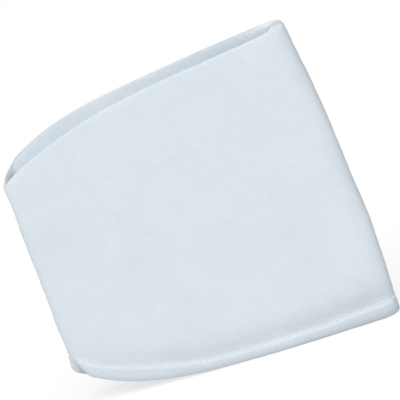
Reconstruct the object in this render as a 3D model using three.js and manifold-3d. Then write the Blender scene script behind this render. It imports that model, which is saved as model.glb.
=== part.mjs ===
// Sweat wristband: a double-walled tube of plush cloth with a soaking layer and two elastics
// between its walls. It stands on its topstitched hem, with the wrist passage upright.
// Millimetres, +Z up. X runs across the laid-flat width, Y through the two faces.
// The origin is on the floor, under the middle of the band.
import * as THREE from "three";
import { mergeVertices } from "three/addons/utils/BufferGeometryUtils.js";
import Module from "manifold-3d";

const wasm = await Module();
wasm.setup();

// Overall sizes
const flatWidth = 82.6; // fold to fold, halfway up
const endFlare = 3.6; // how much wider the hem is than the plain rim
const bandHeight = 68; // hem edge to plain rim on the front face
const openThickness = 12.8; // front face to back face, as the band stands
const innerFoldRadius = 1.2; // lining's bend at each fold

// Layers of one wall, from the outside in
const coverWall = 1.0;
const coreWall = 0.8;
const liningWall = 1.0;
const layerGap = 0.3;
const edgeGap = 0.6; // between the lining's edges and the cover's, which climb round the far fold

// Rims
const rimRound = 0.9; // rounding of the turned edges
const backRise = 4.2; // how far the back face's plain rim stands above the front's
const rimZone = 11; // height at each end that keeps its own shape

// How the closing seam at the far fold draws the rims in, and how quickly that fades
const drawReach = 64; // distance from the far fold at which it ends
const frontDraw = { most: 9.7, power: 2.9 }; // plain rim of the front face, downwards
const backDraw = { most: 9.0, power: 5.0 }; // plain rim of the back face, downwards
const hemDraw = { most: 10.2, power: 4.3 }; // hem, upwards

// Turned edges and elastics
const plainTurn = 7.0; // how far the cover runs down inside the plain rim
const hemTurn = 7.6; // how far it runs up inside the hem
const elasticWidth = 4.2;

// Threads
const hemStitchHeight = 2.9; // stitch row above the hem edge
const hemThread = 0.5; // diameter
const hiddenThread = 0.5; // diameter
const seamSpacing = 1.6; // between the two closing seams
const seamSlit = 4.4; // gap in the core that the closing seams lie in

// Steps round the loop
const foldSteps = 10;
const faceSteps = 20;
const threadSides = 6;

const wall = coverWall + coreWall + liningWall + 2 * layerGap;
const foldRadius = wall + innerFoldRadius;
const halfThickness = openThickness / 2;
const cavityStart = coverWall;
const cavityEnd = wall - liningWall;
const cavityMiddle = (cavityStart + cavityEnd) / 2;
const loopSteps = 2 * (foldSteps + faceSteps);
const ringRadius = 3 * wall; // any ring wider than the wall serves before it is bent

const clamp = THREE.MathUtils.clamp;
const lerp = THREE.MathUtils.lerp;

const materials = {
  plush: new THREE.MeshStandardMaterial({ color: 0xe3eaef, roughness: 0.95, metalness: 0 }),
  terry: new THREE.MeshStandardMaterial({ color: 0xd8dfe4, roughness: 0.97, metalness: 0 }),
  wadding: new THREE.MeshStandardMaterial({ color: 0xf1f1ec, roughness: 1.0, metalness: 0 }),
  elastic: new THREE.MeshStandardMaterial({ color: 0xe9e8e2, roughness: 0.8, metalness: 0 }),
  thread: new THREE.MeshStandardMaterial({ color: 0xf0f4f6, roughness: 0.6, metalness: 0 }),
};

// Half the flat width at a height: the band narrows evenly from the hem to the plain rim.
function halfWidthAt(height) {
  return flatWidth / 2 + endFlare * (0.5 - height / bandHeight) / 2;
}

// The wall's loop seen from above is four arcs: a tight one round each fold and a wide one
// along each face, tangent to each other. Station 0..1 goes round it from the near fold's
// middle, and depth is measured inwards from the outer surface.
function loopPoint(station, depth, height) {
  const foldCentre = halfWidthAt(height) - foldRadius;
  const faceRadius = (foldCentre ** 2 + halfThickness ** 2 - foldRadius ** 2)
    / (2 * (halfThickness - foldRadius));
  const faceAngle = Math.asin(foldCentre / (faceRadius - foldRadius));
  const foldAngle = Math.PI / 2 - faceAngle;
  const foldShare = foldSteps / loopSteps;
  const side = station < 0.5 ? 1 : -1;
  const fromNear = Math.min(station, 1 - station);
  if (fromNear <= foldShare / 2) {
    const angle = side * foldAngle * fromNear / (foldShare / 2);
    return arcPoint(foldCentre, 0, foldRadius - depth, angle);
  }
  if (fromNear >= 0.5 - foldShare / 2) {
    const angle = Math.PI - side * foldAngle * (0.5 - fromNear) / (foldShare / 2);
    return arcPoint(-foldCentre, 0, foldRadius - depth, angle);
  }
  const along = (fromNear - foldShare / 2) / (0.5 - foldShare);
  const angle = side * (Math.PI / 2 - faceAngle * (1 - 2 * along));
  return arcPoint(0, side * (halfThickness - faceRadius), faceRadius - depth, angle);
}

function arcPoint(centreX, centreY, radius, angle) {
  return new THREE.Vector2(centreX + radius * Math.cos(angle), centreY + radius * Math.sin(angle));
}

// How far a rim is drawn in at a place across the band.
function drawnIn(draw, x) {
  const near = clamp((drawReach - (x + flatWidth / 2)) / drawReach, 0, 1);
  return draw.most * near ** draw.power;
}

// Real height of a point that lies at the given height on an undrawn band. x is where the
// outer surface is, and towardsBack runs from -1 on the front face to 1 on the back face.
function standingHeight(height, x, towardsBack) {
  const backShare = (1 + Math.sin(towardsBack * Math.PI / 2)) / 2;
  const lower = drawnIn(hemDraw, x);
  const upper = lerp(
    bandHeight - drawnIn(frontDraw, x),
    bandHeight + backRise - drawnIn(backDraw, x),
    backShare,
  );
  if (height <= rimZone) {
    return lower + height;
  }
  if (height >= bandHeight - rimZone) {
    return upper - (bandHeight - height);
  }
  const along = (height - rimZone) / (bandHeight - 2 * rimZone);
  return lerp(lower + rimZone, upper - rimZone, along);
}

function bandPoint(station, depth, height) {
  const outer = loopPoint(station, 0, height);
  const point = loopPoint(station, depth, height);
  const towardsBack = clamp(point.y / (halfThickness - depth), -1, 1);
  return new THREE.Vector3(point.x, point.y, standingHeight(height, outer.x, towardsBack));
}

// A closed profile of [depth, height] points, swept round the whole loop. Profiles run under
// the hem towards the wrist and back down the outside, and the lathe takes them the other way
// round. It makes a plain ring, and each of its points then moves to its place on the band.
function loopGeometry(profile) {
  const closed = [...profile, profile[0]].reverse();
  const points = closed.map(([depth, height]) => new THREE.Vector2(ringRadius - depth, height));
  const geometry = new THREE.LatheGeometry(points, loopSteps);
  const position = geometry.attributes.position;
  for (let i = 0; i < position.count; i += 1) {
    const turn = Math.atan2(position.getX(i), position.getZ(i)) / (2 * Math.PI);
    const station = Math.round((turn + 1) * loopSteps) % loopSteps / loopSteps;
    const depth = ringRadius - Math.hypot(position.getX(i), position.getZ(i));
    const moved = bandPoint(station, depth, position.getY(i));
    position.setXYZ(i, moved.x, moved.y, moved.z);
  }
  geometry.computeVertexNormals();
  return geometry;
}

// Quarter circle of three profile points round a rim's corner.
function roundCorner(depthCentre, heightCentre, startTurn) {
  return [0, 1, 2].map((step) => {
    const angle = (startTurn + step / 2) * Math.PI / 2;
    return [
      depthCentre + rimRound * Math.cos(angle),
      heightCentre + rimRound * Math.sin(angle),
    ];
  });
}

function roundProfile(depth, height, diameter) {
  return Array.from({ length: threadSides }, (_, step) => {
    const angle = 2 * Math.PI * step / threadSides;
    return [
      depth + diameter / 2 * Math.cos(angle),
      height + diameter / 2 * Math.sin(angle),
    ];
  });
}

const grooveHalf = hemThread / 2 + layerGap; // half height of the dent the hem thread pulls
const grooveDepth = hemThread / 2 + layerGap; // the thread's middle lies level with the face

function coverProfile() {
  return [
    ...roundCorner(rimRound, rimRound, 2), // outside of the hem edge
    [wall - rimRound, 0],
    ...roundCorner(wall - rimRound, rimRound, 3).slice(1), // wrist side of the hem edge
    [wall, hemStitchHeight - grooveHalf],
    [wall - grooveDepth, hemStitchHeight - grooveHalf],
    [wall - grooveDepth, hemStitchHeight + grooveHalf],
    [wall, hemStitchHeight + grooveHalf],
    [wall, hemTurn],
    [cavityEnd, hemTurn],
    [cavityEnd, coverWall],
    [cavityStart, coverWall],
    [cavityStart, bandHeight - coverWall],
    [cavityEnd, bandHeight - coverWall],
    [cavityEnd, bandHeight - plainTurn],
    [wall, bandHeight - plainTurn],
    ...roundCorner(wall - rimRound, bandHeight - rimRound, 0),
    ...roundCorner(rimRound, bandHeight - rimRound, 1),
    [0, hemStitchHeight + grooveHalf],
    [grooveDepth, hemStitchHeight + grooveHalf],
    [grooveDepth, hemStitchHeight - grooveHalf],
    [0, hemStitchHeight - grooveHalf],
  ];
}

function layerProfile(start, end, bottom, top) {
  return [
    [start, bottom],
    [end, bottom],
    [end, top],
    [start, top],
  ];
}

const cavityFrom = cavityStart + layerGap;
const cavityTo = cavityEnd - layerGap;
const hemElasticBottom = coverWall + layerGap;
const hemElasticTop = hemElasticBottom + elasticWidth;
const plainSeamHeight = bandHeight - coverWall - layerGap - hiddenThread / 2;
const plainElasticTop = plainSeamHeight - hiddenThread / 2 - layerGap;
const plainElasticBottom = plainElasticTop - elasticWidth;

function toManifold(geometry) {
  const bare = geometry.clone();
  bare.deleteAttribute("normal");
  bare.deleteAttribute("uv");
  const merged = mergeVertices(bare, 1e-4);
  const mesh = new wasm.Mesh({
    numProp: 3,
    vertProperties: new Float32Array(merged.attributes.position.array),
    triVerts: new Uint32Array(merged.index.array),
  });
  return new wasm.Manifold(mesh);
}

function fromManifold(solid) {
  const mesh = solid.getMesh();
  const geometry = new THREE.BufferGeometry();
  geometry.setAttribute("position", new THREE.BufferAttribute(mesh.vertProperties, 3));
  geometry.setIndex(new THREE.BufferAttribute(mesh.triVerts, 1));
  geometry.computeVertexNormals();
  return geometry;
}

// The core is one strip whose ends stop either side of the closing seams.
function coreGeometry() {
  const bottom = hemElasticTop + layerGap;
  const top = plainElasticBottom - layerGap;
  const strip = loopGeometry(layerProfile(cavityFrom, cavityTo, bottom, top));
  const slit = new THREE.BoxGeometry(2 * foldRadius, seamSlit, 2 * bandHeight);
  slit.translate(-flatWidth / 2, 0, bandHeight / 2);
  return fromManifold(toManifold(strip).subtract(toManifold(slit)));
}

// A closing seam's thread runs up the far fold, between the two elastics.
function closingSeamGeometry(sidewards) {
  const circle = new THREE.Shape();
  circle.absarc(0, 0, hiddenThread / 2, 0, 2 * Math.PI);
  const reach = foldRadius - cavityMiddle;
  const angle = Math.asin(sidewards / reach);
  const end = (height) => {
    const fold = loopPoint(0.5, foldRadius, height);
    const outerX = fold.x - foldRadius * Math.cos(angle);
    const towardsBack = sidewards / (halfThickness - cavityMiddle);
    const z = standingHeight(height, outerX, towardsBack);
    return new THREE.Vector3(fold.x - reach * Math.cos(angle), sidewards, z);
  };
  const path = new THREE.LineCurve3(
    end(hemElasticTop + 2 * layerGap),
    end(plainElasticBottom - 2 * layerGap),
  );
  return new THREE.ExtrudeGeometry(circle, { steps: 1, curveSegments: 8, extrudePath: path });
}

const wristband = new THREE.Group();

function add(name, geometry, material) {
  const mesh = new THREE.Mesh(geometry, material);
  mesh.name = name;
  wristband.add(mesh);
}

add("outer_cover", loopGeometry(coverProfile()), materials.plush);
add(
  "inner_lining",
  loopGeometry(layerProfile(
    cavityEnd,
    wall,
    hemTurn + edgeGap,
    bandHeight - plainTurn - edgeGap,
  )),
  materials.terry,
);
add("absorbent_core", coreGeometry(), materials.wadding);
add(
  "elastic_stitched_end",
  loopGeometry(layerProfile(cavityFrom, cavityTo, hemElasticBottom, hemElasticTop)),
  materials.elastic,
);
add(
  "elastic_plain_end",
  loopGeometry(layerProfile(cavityFrom, cavityTo, plainElasticBottom, plainElasticTop)),
  materials.elastic,
);
add(
  "hem_needle_thread",
  loopGeometry(roundProfile(0, hemStitchHeight, hemThread)),
  materials.thread,
);
add(
  "hem_bobbin_thread",
  loopGeometry(roundProfile(wall, hemStitchHeight, hemThread)),
  materials.thread,
);
add(
  "plain_end_seam_thread",
  loopGeometry(roundProfile(cavityMiddle, plainSeamHeight, hiddenThread)),
  materials.thread,
);
add("cover_seam_thread", closingSeamGeometry(-seamSpacing / 2), materials.thread);
add("lining_seam_thread", closingSeamGeometry(seamSpacing / 2), materials.thread);

export default wristband;
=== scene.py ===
"""Sweat wristband: a plush cloth tube with a double wall, standing on its topstitched hem.

Metres, +Z up. X runs from the seamed fold (-X) to the plain fold (+X), and the front face
looks along -Y. A place on the band is given by three numbers: its station, 0 to 1 round the
loop from the plain fold's middle over the back; its depth inwards from the outer face; and its
height above the hem edge on a band whose rims aren't drawn in.
"""
import math

import bpy
import numpy as np
from mathutils import Matrix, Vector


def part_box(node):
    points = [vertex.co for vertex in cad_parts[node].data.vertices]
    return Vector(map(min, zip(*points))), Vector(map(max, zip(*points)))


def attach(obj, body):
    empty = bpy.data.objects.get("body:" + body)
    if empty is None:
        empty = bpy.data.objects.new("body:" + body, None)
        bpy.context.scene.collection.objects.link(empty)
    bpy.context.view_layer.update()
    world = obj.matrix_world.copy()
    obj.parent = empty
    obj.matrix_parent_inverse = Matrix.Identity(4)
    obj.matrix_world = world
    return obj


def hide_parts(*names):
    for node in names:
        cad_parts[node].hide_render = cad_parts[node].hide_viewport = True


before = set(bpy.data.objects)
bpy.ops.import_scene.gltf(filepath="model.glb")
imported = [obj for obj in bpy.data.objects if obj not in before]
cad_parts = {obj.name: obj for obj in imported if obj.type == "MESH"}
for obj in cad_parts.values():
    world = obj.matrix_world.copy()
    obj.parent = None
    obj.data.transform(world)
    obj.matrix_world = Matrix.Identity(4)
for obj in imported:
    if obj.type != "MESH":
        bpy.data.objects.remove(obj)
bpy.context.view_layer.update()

MM = 0.001

# Sizes read from the frame
COVER_LOW, COVER_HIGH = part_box("outer_cover")
HEM_THREAD_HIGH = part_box("hem_needle_thread")[1]
HEM_HALF_WIDTH = COVER_HIGH[0]
HALF_THICKNESS = COVER_HIGH[1]
THREAD_RADIUS = HEM_THREAD_HIGH[1] - HALF_THICKNESS

# The band's form
END_FLARE = 3.6 * MM  # how much wider the hem is than the plain rim
FLAT_WIDTH = 2 * HEM_HALF_WIDTH - END_FLARE / 2
BACK_RISE = 3.6 * MM  # how far the back's plain rim stands above the front's
BAND_HEIGHT = COVER_HIGH[2] - COVER_LOW[2] - BACK_RISE
NEAR_FOLD_BOW = 1.1 * MM  # how far the near fold bows out between its ends
FAR_FOLD_BOW = 0.45 * MM  # how far the far fold bows in between its ends
NEAR_RIM_POINT = (0.7 * MM, 6 * MM)  # how far a fold's end stands out, and over what height
FAR_RIM_POINT = (1.0 * MM, 4 * MM)
FAR_HEM_POINT = (0.7 * MM, 3 * MM)
RIM_ZONE = 11 * MM  # height of the zone at each rim that keeps its shape when it is drawn in

# How the closing seam draws the rims in: the most, at the far fold, and how fast it fades
DRAW_REACH = 64 * MM
FRONT_DRAW = (9.5 * MM, 2.9)
BACK_DRAW = (7.6 * MM, 4.4)
HEM_DRAW = (9.9 * MM, 4.3)
FRONT_DIP = (0.9 * MM, 5 * MM)  # the front rim's last dip at the far fold, and its reach

# The wall's layers, and the cover's turned-in cloth
COVER_WALL = 1.0 * MM
CORE_WALL = 0.8 * MM
LINING_WALL = 1.0 * MM
LAYER_GAP = 0.3 * MM
WALL = COVER_WALL + CORE_WALL + LINING_WALL + 2 * LAYER_GAP
FOLD_RADIUS = WALL + 1.2 * MM
PLAIN_TURN = 7.0 * MM
HEM_TURN = 7.6 * MM
PLAIN_SQUARENESS = 5.0  # of the rims' section: 2 is a circle, and more keeps the corners
HEM_SQUARENESS = 6.0
CINCH = (0.55 * MM, 5.0 * MM)  # how far the plain rim's elastic pulls in, and how it fades
LOOP_LENGTH = 172 * MM  # the cover's cloth, measured round the outside

# The elastics and the plain rim's seam, as heights on the band
ELASTIC_WIDTH = 4.2 * MM
HEM_ELASTIC = (COVER_WALL + LAYER_GAP, COVER_WALL + LAYER_GAP + ELASTIC_WIDTH)
PLAIN_SEAM = BAND_HEIGHT - COVER_WALL - LAYER_GAP - THREAD_RADIUS
PLAIN_TOP = PLAIN_SEAM - THREAD_RADIUS - LAYER_GAP
PLAIN_ELASTIC = (PLAIN_TOP - ELASTIC_WIDTH, PLAIN_TOP)

# The row of stitches round the hem, the valley above it, and the closing seam
STITCH_COUNT = 126
STITCH_HEIGHT = 2.9 * MM
FAR_CLIMB = 1.4 * MM  # how much higher the row stands near the far fold
NEAR_CLIMB = 0.7 * MM  # and at the near fold
VALLEY_DEPTH = 0.9 * MM
VALLEY_REACH = 2.9 * MM
UNDER_ROW = 1.3 * MM  # how far below the row the valley has mostly come out again
SEAM_STATION = 0.5
NOTCH_STATION = 0.53  # where the hem's turned ends meet, just in front of the seam
SEAM_STITCHES = 22

# The cover's relief: how far each form rises or sinks
SWELL = 0.35 * MM
HOLE_DEPTH = 0.05 * MM
PUCKER_DEPTH = 0.15 * MM
SEAM_DEPTH = 0.35 * MM
NOTCH_DEPTH = 0.9 * MM
BROAD_RELIEF = 0.16 * MM
SMALL_RELIEF = 0.06 * MM
NAP_RELIEF = 0.045 * MM

# Painted light and shade in the plush's colour, as how much darker or paler it is: by how far
# it is turned in, by mm above the stitch row, and elsewhere
# painted shade over the rims' edges, by how far the cloth is turned in
EDGE_SHADE_TURNS = [0, 0.25, 0.5, 0.93, 1]
EDGE_PAINTED_SHADE = [0, 0.03, 0.18, 0.22, 0]
# painted shade along the hem's edge, by mm from the stitch row
HEM_SHADE_STEPS = [-2.9, -2.4, -1.9, -0.9, -0.4, -0.1, 0.5]
HEM_PAINTED_SHADE = [0.36, 0.30, 0.15, 0.11, 0.0, -0.02, 0.0]
TURNED_IN_PAINTED_LIGHT = (0.13, 0.12)  # painted light where the cloth is turned in: at the folds, and how much more in the middle of a face
SLOPE_PAINTED_SHADE = (0.02, 0.09)  # painted shade on the slope above the stitches: at the far fold, and how much more at the near fold
STEEPEST_SLOPE = 0.385  # the most that tanh / cosh^2 reaches
# painted shade at the far tip
FAR_TIP_PAINTED_SHADE = 0.22
# painted shade in the notch
NOTCH_PAINTED_SHADE = 0.3
# painted shade along the folds, and how far it reaches at the near and the far fold
FOLD_PAINTED_SHADE = 0.25
FOLD_SHADE_AT_NEAR = 1.8 * MM  # how far round from a fold's middle the painted shade along the folds reaches
FOLD_SHADE_AT_FAR = 3.0 * MM

# Cloth patterns
PATTERN = 3.4  # which pattern of blotches and fibres the cloths have
BLOTCH_SCALE = 75.0
GRAIN_SCALE = 1100.0
GRAIN_SHARE = 0.45

# Camera: its place, the turns of its view in degrees, and its lens
CAMERA_PLACE = (58.43 * MM, -158.95 * MM, 50.39 * MM)
CAMERA_AZIMUTH = 17.886
CAMERA_ELEVATION = 3.776
CAMERA_ROLL = -21.765
CAMERA_LENS = 62.79

# Studio floor and light
FLOOR_SIZE = 12.0
FLOOR_GREY = 0.36
FLOOR_GLOW = 0.62
FILL_LIGHT = 0.54
KEY_LIGHT = 2.0
KEY_ELEVATION = 58
KEY_AZIMUTH = 5
KEY_SPREAD = 75  # how wide the lamp is, in degrees


# ---------------------------------------------------------------- the band's form


def hill(distance, width):
    """A smooth hill, 1 at its top and about a third of that at its width."""
    return np.exp(-((distance / width) ** 2))


def eased(share):
    """A smooth step from 0 to 1, for a share from 0 to 1."""
    return share * share * (3 - 2 * share)


def loop_lengths(half_width):
    """Centre of a fold, radius and half angle of a face arc, and half angle of a fold arc.

    The wide arc of a face is tangent to the tight arcs of both folds."""
    centre = half_width - FOLD_RADIUS
    face_radius = (centre**2 + HALF_THICKNESS**2 - FOLD_RADIUS**2) / (
        2 * (HALF_THICKNESS - FOLD_RADIUS)
    )
    face_angle = np.arcsin(centre / (face_radius - FOLD_RADIUS))
    return centre, face_radius, face_angle, math.pi / 2 - face_angle


def half_width_at(height):
    """Half the flat width, narrowing evenly from the hem to the plain rim."""
    return FLAT_WIDTH / 2 + END_FLARE * (0.5 - height / BAND_HEIGHT) / 2


def loop_point(station, depth, height):
    """x and y of a place: four arcs, each walked at even arc length."""
    centre, face_radius, face_angle, fold_angle = loop_lengths(half_width_at(height))
    fold_length = fold_angle * FOLD_RADIUS
    face_length = face_angle * face_radius
    half_loop = 2 * (fold_length + face_length)
    side = np.where(np.mod(station, 1) < 0.5, 1.0, -1.0)
    walked = np.minimum(np.mod(station, 1), 1 - np.mod(station, 1)) * 2 * half_loop
    near = walked <= fold_length
    far = walked >= half_loop - fold_length
    near_angle = walked / FOLD_RADIUS
    far_angle = math.pi - (half_loop - walked) / FOLD_RADIUS
    face_turn = math.pi / 2 - face_angle + (walked - fold_length) / face_radius
    angle = np.where(near, near_angle, np.where(far, far_angle, face_turn))
    radius = np.where(near | far, FOLD_RADIUS, face_radius) - depth
    centre_x = np.where(near, centre, np.where(far, -centre, 0.0))
    centre_y = np.where(near | far, 0.0, HALF_THICKNESS - face_radius)
    return centre_x + radius * np.cos(angle), side * (centre_y + radius * np.sin(angle))


def drawn_in(draw, outer_x):
    """How far a rim is drawn in: a power of the share of the reach that is left."""
    most, power = draw
    return most * np.clip(1 - (outer_x + FLAT_WIDTH / 2) / DRAW_REACH, 0, 1) ** power


def standing_height(height, outer_x, towards_back):
    """Height of a place once the closing seam has drawn both rims in at the far fold.

    The plain rim goes from the front's curve to the back's by a sine of towards_back, which
    runs from -1 to 1. The rim zones keep their shape and the middle stretches."""
    back = (1 + np.sin(np.clip(towards_back, -1, 1) * math.pi / 2)) / 2
    lower = drawn_in(HEM_DRAW, outer_x)
    front_rim = BAND_HEIGHT - drawn_in(FRONT_DRAW, outer_x)
    front_rim = front_rim - FRONT_DIP[0] * hill(outer_x + FLAT_WIDTH / 2, FRONT_DIP[1])
    back_rim = BAND_HEIGHT + BACK_RISE - drawn_in(BACK_DRAW, outer_x)
    upper = front_rim * (1 - back) + back_rim * back
    along = (height - RIM_ZONE) / (BAND_HEIGHT - 2 * RIM_ZONE)
    middle = lower + RIM_ZONE + along * (upper - lower - 2 * RIM_ZONE)
    ends = np.where(height < RIM_ZONE, lower + height, upper - BAND_HEIGHT + height)
    inside = (height > RIM_ZONE) & (height < BAND_HEIGHT - RIM_ZONE)
    return np.where(inside, middle, ends)


def fold_offset(outer_x, height):
    """How far a place near a fold is moved along X, fading to nothing on the faces.

    The near fold bows out as a parabola up the band and the far fold bows in, and the ends of
    the folds stand out as points."""
    share = np.clip(height / BAND_HEIGHT, 0, 1)
    bow = 4 * share * (1 - share)
    from_rim = BAND_HEIGHT - height
    near = NEAR_FOLD_BOW * bow + NEAR_RIM_POINT[0] * hill(from_rim, NEAR_RIM_POINT[1])
    far = FAR_FOLD_BOW * bow - FAR_RIM_POINT[0] * hill(from_rim, FAR_RIM_POINT[1])
    far = far - FAR_HEM_POINT[0] * hill(height, FAR_HEM_POINT[1])
    return np.where(outer_x > 0, near, far) * np.clip(2 * np.abs(outer_x) / FLAT_WIDTH, 0, 1) ** 4


def band_points(station, depth, height):
    """Points of places, as an array ending in x, y, z."""
    station, depth, height = np.broadcast_arrays(station, depth, height)
    outer_x, _ = loop_point(station, 0.0, height)
    x, y = loop_point(station, depth, height)
    z = standing_height(height, outer_x, y / (HALF_THICKNESS - depth))
    return np.stack([x + fold_offset(outer_x, height), y, z], axis=-1)


def soft_noise(station, height, around, upward, seed):
    """Smooth random swelling, -1 to 1: a grid of random values round the loop and up the
    band, blended by smooth steps between its points."""
    values = np.random.default_rng(seed).uniform(-1, 1, (around, upward + 2))
    a = np.mod(station, 1) * around
    b = np.clip(height / BAND_HEIGHT, 0, 1) * upward
    i, j = np.floor(a).astype(int), np.minimum(np.floor(b).astype(int), upward)
    s, t = eased(a - i), eased(b - j)
    low = values[i % around, j] * (1 - s) + values[(i + 1) % around, j] * s
    high = values[i % around, j + 1] * (1 - s) + values[(i + 1) % around, j + 1] * s
    return low * (1 - t) + high * t


def from_fold(station):
    """Distance round the loop from the middle of the nearer fold."""
    return np.abs(np.mod(station + 0.25, 0.5) - 0.25) * LOOP_LENGTH


def stitch_row_height(station):
    """Height of the stitch row: it climbs smoothly from mid face to near the far fold, and
    again just before the near fold."""
    farness = (1 - np.cos(2 * math.pi * station)) / 2
    far = eased(np.clip((farness - 0.5) / 0.38, 0, 1))
    near = eased(np.clip(1 - farness / 0.12, 0, 1))
    return STITCH_HEIGHT + FAR_CLIMB * far + NEAR_CLIMB * near


def notch_shape(station, height):
    """1 in the middle of the notch between the hem's turned ends, fading away from it."""
    across = (station - NOTCH_STATION) * LOOP_LENGTH + 0.6 * (height - STITCH_HEIGHT)
    return hill(across, 1.1 * MM) * hill(height, 3.6 * MM)


# ---------------------------------------------------------------- mesh building


def make_object(name, points, faces):
    """A smooth-shaded piece made of points and faces in place."""
    mesh = bpy.data.meshes.new(name)
    mesh.from_pydata(points.reshape(-1, 3).tolist(), [], faces)
    mesh.polygons.foreach_set("use_smooth", [True] * len(mesh.polygons))
    mesh.update()
    piece = bpy.data.objects.new(name, mesh)
    bpy.context.scene.collection.objects.link(piece)
    return piece


def grid_faces(rows, columns, closed_rows=True, closed_columns=True):
    """Four-sided faces between neighbouring points of a rows by columns grid."""
    r = np.arange(rows if closed_rows else rows - 1)
    c = np.arange(columns if closed_columns else columns - 1)
    r, c = np.meshgrid(r, c, indexing="ij")
    below, beside = (r + 1) % rows, (c + 1) % columns
    corners = [r * columns + c, r * columns + beside, below * columns + beside, below * columns + c]
    return np.stack(corners, axis=-1).reshape(-1, 4).tolist()


def spread(profile, stations):
    """A profile's depths or heights, the same at every station, as a grid."""
    return np.repeat(profile[:, None], len(stations), 1)


def tube_band(name, depth, height, stations):
    """A closed band: a closed profile of depths and heights swept round the loop.

    depth and height are profile by station grids."""
    points = band_points(stations[None, :], depth, height)
    return make_object(name, points, grid_faces(*depth.shape))


def open_strip(name, depth, height, stations):
    """A strip that ends at its first and last stations, each end closed by one face."""
    rows, columns = depth.shape
    points = band_points(stations[None, :], depth, height)
    faces = grid_faces(rows, columns, True, False)
    first = [row * columns for row in range(rows)]
    last = [row * columns + columns - 1 for row in range(rows)][::-1]
    return make_object(name, points, [*faces, first, last])


def even(start, end, count):
    """Evenly spaced values that stop one step short of the end."""
    return np.linspace(start, end, count, endpoint=False)


# ---------------------------------------------------------------- the cover


def turned_edge(turn, radius, middle_height, squareness):
    """Depths and heights round a turned edge: a circle at squareness 2, and a superellipse
    that keeps its corners at more."""
    power = 2 / squareness
    across, up = np.cos(turn), np.sin(turn)
    return np.stack(
        [
            radius + radius * np.sign(across) * np.abs(across) ** power,
            middle_height + radius * np.sign(up) * np.abs(up) ** power,
        ]
    )


def cover_profile():
    """Depths and heights once round the cover's cloth, wrist side of the plain rim first.

    The visible side climbs the wrist side of the plain rim, rolls over it, runs down the
    outer face, rolls round the hem edge and climbs its wrist side. The hidden side comes
    back inside it, one cloth thickness away. Round both rims the visible side follows a
    squarish superellipse, squarer at the hem, and the hidden side a half circle."""
    roll = WALL / 2
    inner_roll = roll - COVER_WALL
    top = BAND_HEIGHT - roll
    climb_top = np.stack([np.full(9, WALL), even(BAND_HEIGHT - PLAIN_TURN, top, 9)])
    over = even(0, math.pi, 16)
    roll_top = turned_edge(over, roll, top, PLAIN_SQUARENESS)
    fine_from = 8 * MM  # below this height the points lie closer together
    face_down = np.stack([np.zeros(58), even(top, fine_from, 58)])
    hem_down = np.stack([np.zeros(34), even(fine_from, roll, 34)])
    under = even(math.pi, 2 * math.pi, 18)
    roll_hem = turned_edge(under, roll, roll, HEM_SQUARENESS)
    climb_hem = np.stack([np.full(21, WALL), np.linspace(roll, HEM_TURN, 21)])
    visible = np.concatenate([climb_top, roll_top, face_down, hem_down, roll_hem, climb_hem], 1)
    hidden_wrist = WALL - COVER_WALL
    down_hem = np.stack([np.full(4, hidden_wrist), np.linspace(HEM_TURN, roll, 4)])
    back_under = np.linspace(2 * math.pi, math.pi, 6)[1:-1]
    inner_hem = np.stack(
        [roll + inner_roll * np.cos(back_under), roll + inner_roll * np.sin(back_under)]
    )
    up_inside = np.stack([np.full(12, COVER_WALL), np.linspace(roll, top, 12)])
    back_over = np.linspace(math.pi, 0, 6)[1:-1]
    inner_top = np.stack(
        [roll + inner_roll * np.cos(back_over), top + inner_roll * np.sin(back_over)]
    )
    down_top = np.stack(
        [np.full(4, hidden_wrist), np.linspace(top, BAND_HEIGHT - PLAIN_TURN, 4)]
    )
    hidden = np.concatenate([down_hem, inner_hem, up_inside, inner_top, down_top], 1)
    return visible, hidden


def cinch(height):
    """How far the plain rim's elastic pulls the whole wall inwards, fading away from it."""
    most, fade = CINCH
    return most * np.exp(-np.maximum(BAND_HEIGHT - height, 0) / fade)


def stitch_wave(station):
    """1 at each needle hole and 0 halfway between two."""
    return 0.5 + 0.5 * np.cos(2 * math.pi * STITCH_COUNT * station)


def cover_relief(station, height):
    """How far the outer face sinks below its plain form; negative swells outwards.

    The face swells, then sinks to the stitch row in a valley shaped like a squared hyperbolic
    secant and comes back out quickly as the hem's roll. The closing seam is a groove up the
    far fold, and the hem's turned ends leave a notch beside it."""
    swell = -SWELL * (1 - hill(height, 9 * MM)) * (1 - hill(BAND_HEIGHT - height, 9 * MM))
    on_face = 1 - 0.85 * hill(from_fold(station), 6 * MM)
    on_face = on_face * (0.8 + 0.2 * np.cos(2 * math.pi * station))
    from_row = height - stitch_row_height(station)
    above = np.clip(from_row, 0, 30 * MM) / VALLEY_REACH
    below = np.clip(-from_row / UNDER_ROW, 0, 1)
    out_again = 0.35 + 0.65 * (1 - below) ** 2
    valley = VALLEY_DEPTH * on_face * np.where(from_row > 0, 1 / np.cosh(above) ** 2, out_again)
    holes = HOLE_DEPTH * hill(from_row, 0.4 * MM) * stitch_wave(station)
    pucker = PUCKER_DEPTH * soft_noise(station, height * 0, 62, 2, 5)
    pucker = pucker * (hill(height - 5 * MM, 3 * MM) + hill(height - 1.2 * MM, 1.2 * MM))
    from_seam = (station - SEAM_STATION) * LOOP_LENGTH
    seam = SEAM_DEPTH * hill(from_seam, 0.5 * MM)
    notch = NOTCH_DEPTH * notch_shape(station, height)
    broad = BROAD_RELIEF * soft_noise(station, height, 14, 6, 1)
    small = SMALL_RELIEF * soft_noise(station, height, 90, 36, 2)
    nap = NAP_RELIEF * soft_noise(station, height, 260, 110, 3)
    return swell + valley + holes + pucker + seam + notch + broad + small + nap


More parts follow.
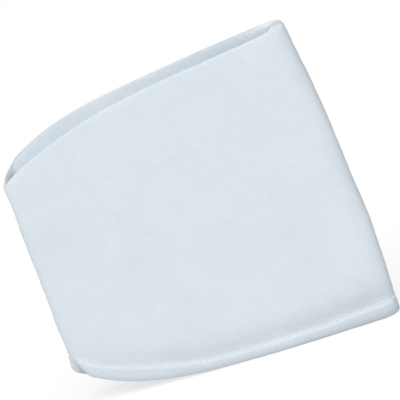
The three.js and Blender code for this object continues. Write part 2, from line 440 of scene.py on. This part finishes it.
def painted_light_and_shade(station, height, facing):
    """Painted light and shade in the plush's colour, as a factor on it. Painted shade darkens it
    at the folds, over the rims' edges, along the hem's edge, on the slope above the stitches,
    in the notch and at the far tip, and painted light makes it paler where it is turned in."""
    turned = (1 - facing) / 2
    at_near = (1 + np.cos(2 * math.pi * station)) / 2
    across = np.sin(2 * math.pi * station) ** 2
    # painted light where the cloth is turned in, growing towards mid face and downwards from the
    # rim's top
    turned_in_light = TURNED_IN_PAINTED_LIGHT[0] + TURNED_IN_PAINTED_LIGHT[1] * across
    turned_in_light = turned_in_light * np.interp(turned, [0.5, 1], [0, 1])
    turned_in_light = 1 + turned_in_light * np.interp((BAND_HEIGHT - height) / MM, [0.5, 4], [0.5, 1.3])
    # painted shade over the rims' edges, fading out at the near fold
    edge_shade = np.interp(turned, EDGE_SHADE_TURNS, EDGE_PAINTED_SHADE)
    edge_shade = 1 - edge_shade * (1 - hill(at_near - 1, 0.03))
    # painted shade at the far tip, on the turned-in cloth
    far_tip_shade = 1 - FAR_TIP_PAINTED_SHADE * hill((station - SEAM_STATION) * LOOP_LENGTH, 4 * MM) * turned
    row = stitch_row_height(station)
    from_row = height - row
    from_row = np.where(from_row < 0, from_row * STITCH_HEIGHT / row, from_row)
    # painted shade along the hem's edge on the outer face, half as strong at the far fold
    hem_shade = np.where(facing > 0, np.interp(from_row / MM, HEM_SHADE_STEPS, HEM_PAINTED_SHADE), 0.0)
    hem_shade = 1 - hem_shade * (0.5 + 0.5 * at_near)
    # painted shade on the slope above the stitches, strongest at the near fold
    above = np.clip(from_row, 0, 30 * MM) / VALLEY_REACH
    slope_shade = np.tanh(above) / np.cosh(above) ** 2 / STEEPEST_SLOPE
    slope_shade = 1 - (SLOPE_PAINTED_SHADE[0] + SLOPE_PAINTED_SHADE[1] * at_near) * slope_shade
    # painted shade along both folds
    fold_shade_width = FOLD_SHADE_AT_FAR + (FOLD_SHADE_AT_NEAR - FOLD_SHADE_AT_FAR) * at_near
    fold_shade = 1 - FOLD_PAINTED_SHADE * hill(from_fold(station), fold_shade_width)
    # painted shade in the notch
    notch_shade = 1 - NOTCH_PAINTED_SHADE * notch_shape(station, height)
    return turned_in_light * edge_shade * far_tip_shade * hem_shade * slope_shade * fold_shade * notch_shade


def wrist_relief(station, height):
    """How far the wrist side sinks towards the outer face."""
    from_row = height - stitch_row_height(station)
    valley = 0.40 * MM * hill(from_row, 0.8 * MM)
    holes = 0.30 * MM * hill(from_row, 0.45 * MM) * stitch_wave(station)
    nap = 0.04 * MM * soft_noise(station, height, 260, 110, 4)
    return valley + holes + nap


def make_cover():
    """The cover's cloth. Each point of the profile moves along its own outward way: outwards
    on the face, towards the wrist on the wrist side, and in between round the rims."""
    stations = even(0, 1, 512)
    visible, hidden = cover_profile()
    depth, height = (spread(row, stations) for row in visible)
    around = np.repeat(stations[None, :], len(visible[0]), 0)
    facing = np.clip(1 - 2 * depth / WALL, -1, 1)  # 1 on the outer face, -1 on the wrist side
    outer = cover_relief(around, height) * np.maximum(facing, 0)
    wrist = wrist_relief(around, height) * np.maximum(-facing, 0)
    # painted light and shade on the visible side, kept on the cover's points for its material; the
    # hidden side is left at 1
    light_and_shade = painted_light_and_shade(around, height, facing)
    depth = depth + outer - wrist + cinch(height)
    hidden_depth, hidden_height = (spread(row, stations) for row in hidden)
    hidden_depth = hidden_depth + cinch(hidden_height)
    depth = np.concatenate([depth, hidden_depth])
    height = np.concatenate([height, hidden_height])
    cover = tube_band("plush_cover", depth, height, stations)
    light_and_shade = np.concatenate([light_and_shade, np.ones_like(hidden_depth)])
    attribute = cover.data.attributes.new("painted_light_and_shade", "FLOAT", "POINT")
    attribute.data.foreach_set("value", light_and_shade.ravel())
    return cover


# ---------------------------------------------------------------- layers inside the wall


def layer_profile(start, end, bottom, top, steps):
    """A thin upright layer's profile: up its wrist side and down its outer side."""
    rise = np.linspace(bottom, top, steps)
    return (
        np.concatenate([np.full(steps, end), np.full(steps, start)]),
        np.concatenate([rise, rise[::-1]]),
    )


def make_lining():
    """The terry lining, with small loops standing on its wrist side."""
    stations = even(0, 1, 420)
    depth, height = layer_profile(
        WALL - LINING_WALL, WALL, HEM_TURN + LAYER_GAP, BAND_HEIGHT - PLAIN_TURN - LAYER_GAP, 76
    )
    depth, height = spread(depth, stations), spread(height, stations)
    on_wrist = depth > WALL - LINING_WALL / 2
    loops = 0.09 * MM * soft_noise(stations[None, :], height, 200, 76, 11)
    broad = 0.20 * MM * soft_noise(stations[None, :], height, 18, 7, 12)
    edges = hill(height - height.min(), 2 * MM) + hill(height - height.max(), 2 * MM)
    depth = depth + np.where(on_wrist, loops + broad * (1 - edges) - 0.25 * MM * edges, 0)
    return tube_band("terry_lining", depth + cinch(height), height, stations)


def make_core(bottom, top):
    """The soaking layer, one strip whose ends stop either side of the closing seams."""
    slit = 2.4 * MM / LOOP_LENGTH
    stations = np.linspace(SEAM_STATION + slit, SEAM_STATION + 1 - slit, 240)
    start = COVER_WALL + LAYER_GAP
    depth, height = layer_profile(start, start + CORE_WALL, bottom, top, 40)
    depth, height = spread(depth, stations), spread(height, stations)
    lumps = 0.06 * MM * soft_noise(stations[None, :], height, 60, 24, 21)
    return open_strip("core_wadding", depth + lumps + cinch(height), height, stations)


def make_elastic(name, bottom, top, seed):
    """A woven elastic tape: fine cords run round it, and its cover wrinkles across them."""
    stations = even(0, 1, 480)
    start = COVER_WALL + LAYER_GAP
    depth, height = layer_profile(start, start + CORE_WALL, bottom, top, 29)
    depth, height = spread(depth, stations), spread(height, stations)
    outward = np.where(depth > start + CORE_WALL / 2, 1.0, -1.0)
    cords = np.cos(2 * math.pi * 7 * (height - bottom) / (top - bottom))
    wrinkles = 1 + 0.5 * np.cos(2 * math.pi * 240 * stations[None, :])
    relief = 0.05 * MM * cords * wrinkles + 0.02 * MM * soft_noise(
        stations[None, :], height, 60, 30, seed
    )
    return tube_band(name, depth + outward * relief + cinch(height), height, stations)


# ---------------------------------------------------------------- stitches


def stitch_row(name, starts, ends, outward, radius, lift):
    """A row of single stitches. Each is a round thread that rises from one needle hole and
    dives into the next: its middle follows a flattened arch, and its thickness a flattened
    half ellipse."""
    rings, sides = 9, 7
    along = np.linspace(0, 1, rings)[None, :, None]
    arch = 1 - (2 * along - 1) ** 4
    middle = starts[:, None] * (1 - along) + ends[:, None] * along
    middle = middle + outward[:, None] * (lift * arch - 0.9 * radius * (1 - arch))
    run = ends - starts
    run = run / np.linalg.norm(run, axis=1, keepdims=True)
    across = np.cross(run, outward)
    across = across / np.linalg.norm(across, axis=1, keepdims=True)
    turn = even(0, 2 * math.pi, sides)
    sideways, upwards = np.cos(turn)[None, :, None], np.sin(turn)[None, :, None]
    circle = sideways * across[:, None] + upwards * outward[:, None]
    thickness = radius * np.sqrt(np.clip(1 - (2 * along[..., 0] - 1) ** 6, 0.04, 1))
    body = middle[:, :, None] + thickness[..., None, None] * circle[:, None]
    count = len(starts)
    ring_faces = np.array(grid_faces(rings, sides, False, True))
    first_cap = np.arange(sides)[::-1]
    last_cap = np.arange(sides) + (rings - 1) * sides
    faces = []
    for stitch in range(count):
        start = stitch * rings * sides
        faces.extend((ring_faces + start).tolist())
        faces.append((first_cap + start).tolist())
        faces.append((last_cap + start).tolist())
    return make_object(name, body, faces)


def ring_stitches(name, depth_at, height_at, radius, lift, wrist_side=False):
    """Stitches all round the loop, at the depths and heights that two functions give."""
    holes = even(0, 1, STITCH_COUNT)
    gap = 0.07 / STITCH_COUNT
    facing = 1.0 if wrist_side else -1.0

    def place(station, deeper=0.0):
        return band_points(station, depth_at(station) + deeper, height_at(station))

    starts = place(holes + gap)
    ends = place(holes + 1 / STITCH_COUNT - gap)
    centre = holes + 0.5 / STITCH_COUNT
    outward = place(centre, facing * MM) - place(centre)
    outward = outward / np.linalg.norm(outward, axis=1, keepdims=True)
    return stitch_row(name, starts, ends, outward, radius, lift)


def in_the_valley(station):
    """Depth of the cloth under the needle thread."""
    return cover_relief(station, stitch_row_height(station))


def at_even(value):
    """A depth or height that is the same all round."""
    return lambda station: np.full_like(station, value)


def upright_stitches(name, node, count):
    """A closing seam's stitches, up the far fold between the two elastics."""
    low, high = (np.array(corner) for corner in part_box(node))
    lean = np.array([0.5, 0.0, 0.0]) * (high[0] - low[0] - 0.5 * MM)
    middle = (low + high) / 2
    radius = (high[1] - low[1]) / 2
    bottom = np.array([middle[0], middle[1], low[2]]) - lean
    top = np.array([middle[0], middle[1], high[2]]) + lean
    share = np.linspace(0, 1, count + 1)[:, None]
    holes = bottom * (1 - share) + top * share
    outward = np.tile([-1.0, 0.0, 0.0], (count, 1))
    holes[:, 0] += FAR_FOLD_BOW * (4 * share * (1 - share))[:, 0]
    step = (holes[1:] - holes[:-1]) * 0.06
    starts, ends = holes[:-1] + step, holes[1:] - step
    return stitch_row(name, starts, ends, outward, radius * 0.8, radius * 0.2)


# ---------------------------------------------------------------- materials


def new_material(name):
    """A material with its nodes, its links and its Principled shader."""
    material = bpy.data.materials.new(name)
    material.use_nodes = True
    nodes = material.node_tree.nodes
    return material, nodes, material.node_tree.links, nodes["Principled BSDF"]


def add_node(nodes, kind, **values):
    """A node whose sockets, or else properties, are set by name."""
    node = nodes.new(kind)
    for key, value in values.items():
        if key in node.inputs:
            node.inputs[key].default_value = value
        else:
            setattr(node, key, value)
    return node


def noise(nodes, links, coordinates, scale, detail, roughness):
    """Noise in space, at the place along its fourth axis that PATTERN gives."""
    node = add_node(nodes, "ShaderNodeTexNoise", Scale=scale, Detail=detail, Roughness=roughness)
    node.noise_dimensions = "4D"
    node.inputs["W"].default_value = PATTERN
    links.new(coordinates, node.inputs["Vector"])
    return node.outputs["Fac"]


def ramp(nodes, links, factor, low, high, low_at=0.3, high_at=0.7):
    """A colour that goes from low to high as the factor rises between two values."""
    node = nodes.new("ShaderNodeValToRGB")
    node.color_ramp.elements[0].position = low_at
    node.color_ramp.elements[0].color = (*low, 1)
    node.color_ramp.elements[1].position = high_at
    node.color_ramp.elements[1].color = (*high, 1)
    links.new(factor, node.inputs["Fac"])
    return node.outputs["Color"]


def bump(nodes, links, height, strength, distance, below=None):
    """Bump by a height, on top of the bump below it if there is one."""
    node = add_node(nodes, "ShaderNodeBump", Strength=strength, Distance=distance)
    links.new(height, node.inputs["Height"])
    if below is not None:
        links.new(below, node.inputs["Normal"])
    return node.outputs["Normal"]


def cloth_material(name, light, dark, nap_scale, nap_depth, sheen, with_painted_shading=False):
    """Soft napped cloth: broad blotches where the nap lies differently, a fine grain, and
    fibres as fine bump. With painted shading it is multiplied by painted light and shade."""
    material, nodes, links, shader = new_material(name)
    coordinates = nodes.new("ShaderNodeTexCoord").outputs["Object"]
    blotches = noise(nodes, links, coordinates, BLOTCH_SCALE, 4.0, 0.5)
    grain = noise(nodes, links, coordinates, GRAIN_SCALE, 2.0, 0.6)
    mixed = add_node(nodes, "ShaderNodeMath", operation="MULTIPLY_ADD")
    mixed.inputs[1].default_value = GRAIN_SHARE
    links.new(grain, mixed.inputs[0])
    links.new(blotches, mixed.inputs[2])
    colour = ramp(nodes, links, mixed.outputs["Value"], dark, light, 0.45, 1.0)
    if with_painted_shading:
        # the colour is multiplied by the painted light and shade that the cover carries
        light_and_shade = add_node(nodes, "ShaderNodeAttribute", attribute_name="painted_light_and_shade")
        product = add_node(nodes, "ShaderNodeVectorMath", operation="MULTIPLY")
        links.new(colour, product.inputs[0])
        links.new(light_and_shade.outputs["Fac"], product.inputs[1])
        colour = product.outputs["Vector"]
    links.new(colour, shader.inputs["Base Color"])
    fibres = noise(nodes, links, coordinates, nap_scale, 3.0, 0.7)
    tufts = noise(nodes, links, coordinates, nap_scale * 0.35, 2.0, 0.6)
    lower = bump(nodes, links, tufts, 0.55, nap_depth * 1.6)
    links.new(bump(nodes, links, fibres, 0.6, nap_depth, lower), shader.inputs["Normal"])
    shader.inputs["Roughness"].default_value = 0.95
    shader.inputs["Specular IOR Level"].default_value = 0.2
    shader.inputs["Sheen Weight"].default_value = sheen
    shader.inputs["Sheen Roughness"].default_value = 0.55
    shader.inputs["Sheen Tint"].default_value = (0.95, 0.98, 1.0, 1.0)
    return material


def thread_material():
    """Twisted sewing thread: light and dark plies that run slantwise along the stitch."""
    material, nodes, links, shader = new_material("sewing_thread")
    coordinates = nodes.new("ShaderNodeTexCoord").outputs["Object"]
    wave = add_node(nodes, "ShaderNodeTexWave", Scale=900.0, Distortion=1.2, Detail=1.0)
    wave.bands_direction = "DIAGONAL"
    links.new(coordinates, wave.inputs["Vector"])
    colour = ramp(nodes, links, wave.outputs["Fac"], (0.63, 0.69, 0.74), (0.70, 0.76, 0.80))
    links.new(colour, shader.inputs["Base Color"])
    links.new(bump(nodes, links, wave.outputs["Fac"], 0.5, 0.06 * MM), shader.inputs["Normal"])
    shader.inputs["Roughness"].default_value = 0.6
    shader.inputs["Sheen Weight"].default_value = 0.2
    return material


def finish_piece(piece, material, slot, *nodes):
    """Give a piece its material and its body, and hide the nodes that it stands for; the slot is
    not used.
    """
    piece.data.materials.append(material)
    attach(piece, "root")
    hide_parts(*nodes)


# ---------------------------------------------------------------- the studio


def make_floor():
    """A pale floor like a light table: much of its brightness is its own glow, which keeps
    the shadows on it faint."""
    bpy.ops.mesh.primitive_plane_add(size=FLOOR_SIZE, location=(0, 0, 0))
    floor = bpy.context.object
    floor.name = "studio_floor"
    material, _, _, shader = new_material("studio_floor")
    shader.inputs["Base Color"].default_value = (FLOOR_GREY, FLOOR_GREY, FLOOR_GREY, 1)
    shader.inputs["Roughness"].default_value = 0.9
    shader.inputs["Specular IOR Level"].default_value = 0.0
    shader.inputs["Emission Color"].default_value = (1, 1, 1, 1)
    shader.inputs["Emission Strength"].default_value = FLOOR_GLOW
    floor.data.materials.append(material)


def make_camera():
    """Camera placed round the band by azimuth and elevation of its view, then rolled."""
    azimuth = math.radians(CAMERA_AZIMUTH)
    elevation = math.radians(CAMERA_ELEVATION)
    roll = math.radians(CAMERA_ROLL)
    back = np.array(
        [
            math.sin(azimuth) * math.cos(elevation),
            -math.cos(azimuth) * math.cos(elevation),
            math.sin(elevation),
        ]
    )
    level = np.array([math.cos(azimuth), math.sin(azimuth), 0.0])
    up = np.cross(back, level)
    right = level * math.cos(roll) + up * math.sin(roll)
    up = -level * math.sin(roll) + up * math.cos(roll)
    camera = bpy.data.objects.new("camera", bpy.data.cameras.new("camera"))
    camera.data.lens = CAMERA_LENS
    camera.data.clip_start = 0.01
    camera.data.clip_end = 50.0
    rows = [[right[i], up[i], back[i], CAMERA_PLACE[i]] for i in range(3)]
    camera.matrix_world = Matrix([*rows, [0, 0, 0, 1]])
    bpy.context.scene.collection.objects.link(camera)
    bpy.context.scene.camera = camera


def make_light():
    """A broad soft lamp high in front, and an even pale studio round it whose light is softer
    than the white that shows behind the band."""
    world = bpy.data.worlds.new("studio")
    bpy.context.scene.world = world
    world.use_nodes = True
    nodes, links = world.node_tree.nodes, world.node_tree.links
    fill = nodes["Background"]
    fill.inputs["Strength"].default_value = FILL_LIGHT
    backdrop = nodes.new("ShaderNodeBackground")
    for background in (fill, backdrop):
        background.inputs["Color"].default_value = (1, 1, 1, 1)
    mix = nodes.new("ShaderNodeMixShader")
    links.new(nodes.new("ShaderNodeLightPath").outputs["Is Camera Ray"], mix.inputs["Fac"])
    links.new(fill.outputs["Background"], mix.inputs[1])
    links.new(backdrop.outputs["Background"], mix.inputs[2])
    links.new(mix.outputs["Shader"], nodes["World Output"].inputs["Surface"])
    light = bpy.data.lights.new("key", "SUN")
    light.energy = KEY_LIGHT
    light.angle = math.radians(KEY_SPREAD)
    lamp = bpy.data.objects.new("key", light)
    lamp.rotation_euler = (math.radians(90 - KEY_ELEVATION), 0, math.radians(KEY_AZIMUTH))
    bpy.context.scene.collection.objects.link(lamp)


# ---------------------------------------------------------------- assembly

make_camera()
make_floor()
make_light()

# the plush's colour carries painted light and shade
plush = cloth_material(
    "plush_cloth", (0.665, 0.724, 0.773), (0.61, 0.672, 0.725), 2600.0, 0.10 * MM, 0.08, True
)
terry = cloth_material(
    "lining_cloth", (0.70, 0.76, 0.80), (0.62, 0.68, 0.72), 1500.0, 0.22 * MM, 0.2
)
wadding = cloth_material(
    "core_wadding", (0.80, 0.80, 0.76), (0.70, 0.70, 0.67), 1800.0, 0.2 * MM, 0.1
)
elastic = cloth_material(
    "elastic_tape", (0.78, 0.77, 0.73), (0.66, 0.65, 0.62), 3200.0, 0.06 * MM, 0.1
)
thread = thread_material()

cover = make_cover()
finish_piece(cover, plush, "plush_cloth", "outer_cover")
lining = make_lining()
finish_piece(lining, terry, "lining_cloth", "inner_lining")
core = make_core(HEM_ELASTIC[1] + LAYER_GAP, PLAIN_ELASTIC[0] - LAYER_GAP)
finish_piece(core, wadding, "core_wadding", "absorbent_core")
hem_elastic = make_elastic("hem_elastic", *HEM_ELASTIC, 31)
finish_piece(hem_elastic, elastic, "elastic_tape", "elastic_stitched_end")
plain_elastic = make_elastic("plain_rim_elastic", *PLAIN_ELASTIC, 32)
finish_piece(plain_elastic, elastic, "elastic_tape", "elastic_plain_end")

needle = ring_stitches(
    "hem_stitches", in_the_valley, stitch_row_height, THREAD_RADIUS, 0.02 * MM
)
finish_piece(needle, thread, "sewing_thread", "hem_needle_thread")
bobbin = ring_stitches(
    "hem_under_stitches",
    at_even(WALL - 0.35 * MM),
    stitch_row_height,
    THREAD_RADIUS,
    0.05 * MM,
    wrist_side=True,
)
finish_piece(bobbin, thread, "sewing_thread", "hem_bobbin_thread")
plain_seam = ring_stitches(
    "plain_rim_stitches",
    at_even(WALL / 2 + 0.5 * MM),
    at_even(PLAIN_SEAM),
    THREAD_RADIUS * 0.8,
    0.0,
)
finish_piece(plain_seam, thread, "sewing_thread", "plain_end_seam_thread")
cover_seam = upright_stitches("cover_seam_stitches", "cover_seam_thread", SEAM_STITCHES)
finish_piece(cover_seam, thread, "sewing_thread", "cover_seam_thread")
lining_seam = upright_stitches("lining_seam_stitches", "lining_seam_thread", SEAM_STITCHES)
finish_piece(lining_seam, thread, "sewing_thread", "lining_seam_thread")

bpy.context.scene.view_settings.view_transform = "Standard"
